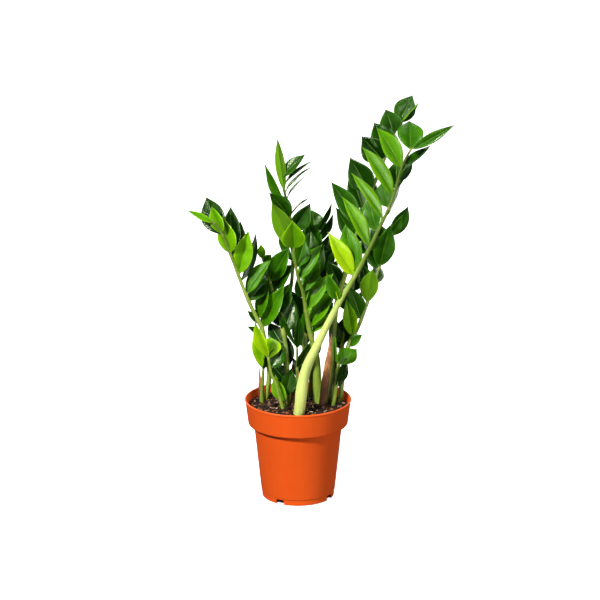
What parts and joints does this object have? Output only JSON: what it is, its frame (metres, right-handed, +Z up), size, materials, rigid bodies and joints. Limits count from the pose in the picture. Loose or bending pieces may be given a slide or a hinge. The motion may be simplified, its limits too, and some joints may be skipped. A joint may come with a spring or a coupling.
{
  "type": "potted zz plant",
  "caption": "Leafy houseplant with upright arching fronds of pointed glossy leaflets, rooted in soil in a round tapered nursery pot with a wide rim collar.",
  "frame": {"origin": "centre of the pot's flat underside, on the surface it stands on", "axes": "+Z up; the plant is seen from the -Y side, with +X to the viewer's right"},
  "size_m": [0.2838, 0.1866, 0.4505],
  "materials": {
    "pot_plastic": "satin terracotta-coloured moulded plastic",
    "peat": "damp crumbly peat and bark",
    "leaf": "glossy waxy green leaf",
    "dry_sheath": "dry papery brown"
  },
  "bodies": {
    "root": {"pot": "pot_plastic", "soil": "peat", "frond_front_right": "leaf", "frond_tall_right": "leaf", "frond_right": "leaf", "frond_centre": "leaf", "frond_left": "leaf", "frond_tall_left": "leaf", "frond_middle_left": "leaf", "frond_back": "leaf", "frond_back_middle": "leaf", "frond_back_right": "leaf", "frond_low_centre": "leaf", "frond_low_left": "leaf", "frond_low_right": "leaf", "sprout_left": "leaf", "sprout_front": "leaf", "sheath_right": "dry_sheath", "sheath_centre": "dry_sheath", "sheath_middle_left": "dry_sheath", "sheath_left": "dry_sheath"}
  },
  "joints": []
}
